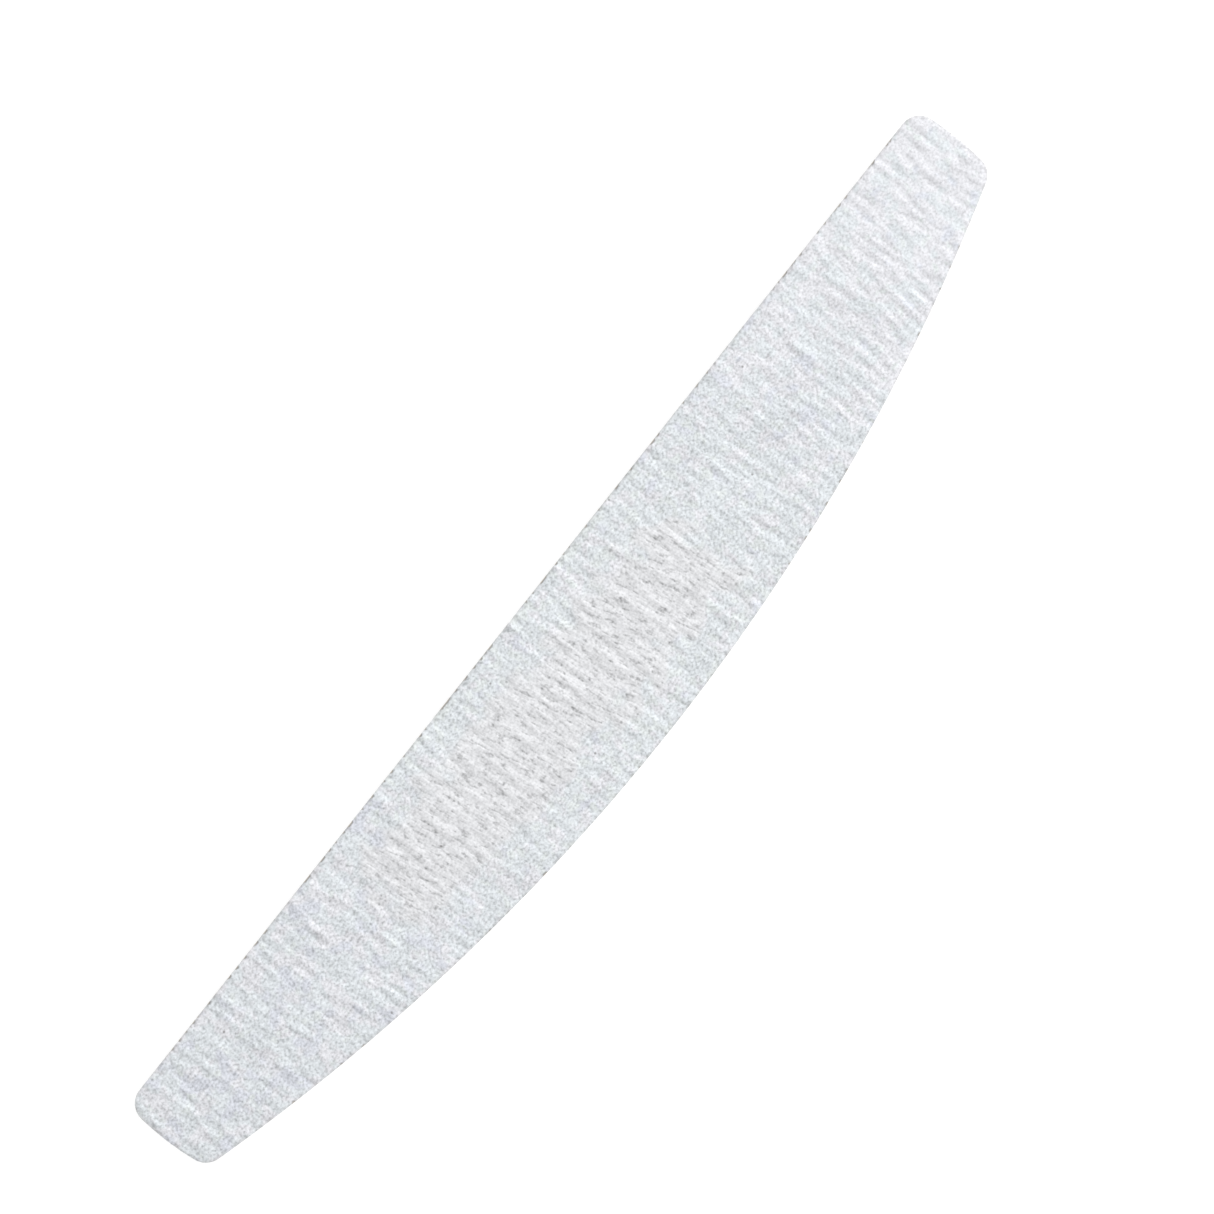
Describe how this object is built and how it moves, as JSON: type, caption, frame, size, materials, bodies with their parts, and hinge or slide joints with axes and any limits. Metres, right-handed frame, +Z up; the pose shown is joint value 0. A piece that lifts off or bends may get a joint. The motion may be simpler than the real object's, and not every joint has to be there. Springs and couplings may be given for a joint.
{
  "type": "nail file board",
  "caption": "Flat half-moon nail file board with one straight and one curved edge, rounded corners, foam cushions on a stiff core and grey abrasive on both faces.",
  "frame": {"origin": "middle of the board's bounding box, on the lower face that it lies on", "axes": "+X along the length, +Y towards the straight filing edge, +Z up out of the upper abrasive face"},
  "size_m": [0.178, 0.027, 0.004],
  "materials": {
    "abrasive": "fine grit, matt",
    "backing_paper": "matt, cut edge",
    "adhesive": "satin film",
    "foam": "fine closed cells, cut edge",
    "core_plastic": "satin, die-cut edge"
  },
  "bodies": {
    "root": {"lower_abrasive_coat": "abrasive", "lower_backing_paper": "backing_paper", "lower_paper_adhesive": "adhesive", "lower_foam_cushion": "foam", "lower_core_adhesive": "adhesive", "core_board": "core_plastic", "upper_core_adhesive": "adhesive", "upper_foam_cushion": "foam", "upper_paper_adhesive": "adhesive", "upper_backing_paper": "backing_paper", "upper_abrasive_coat": "abrasive"}
  },
  "joints": []
}
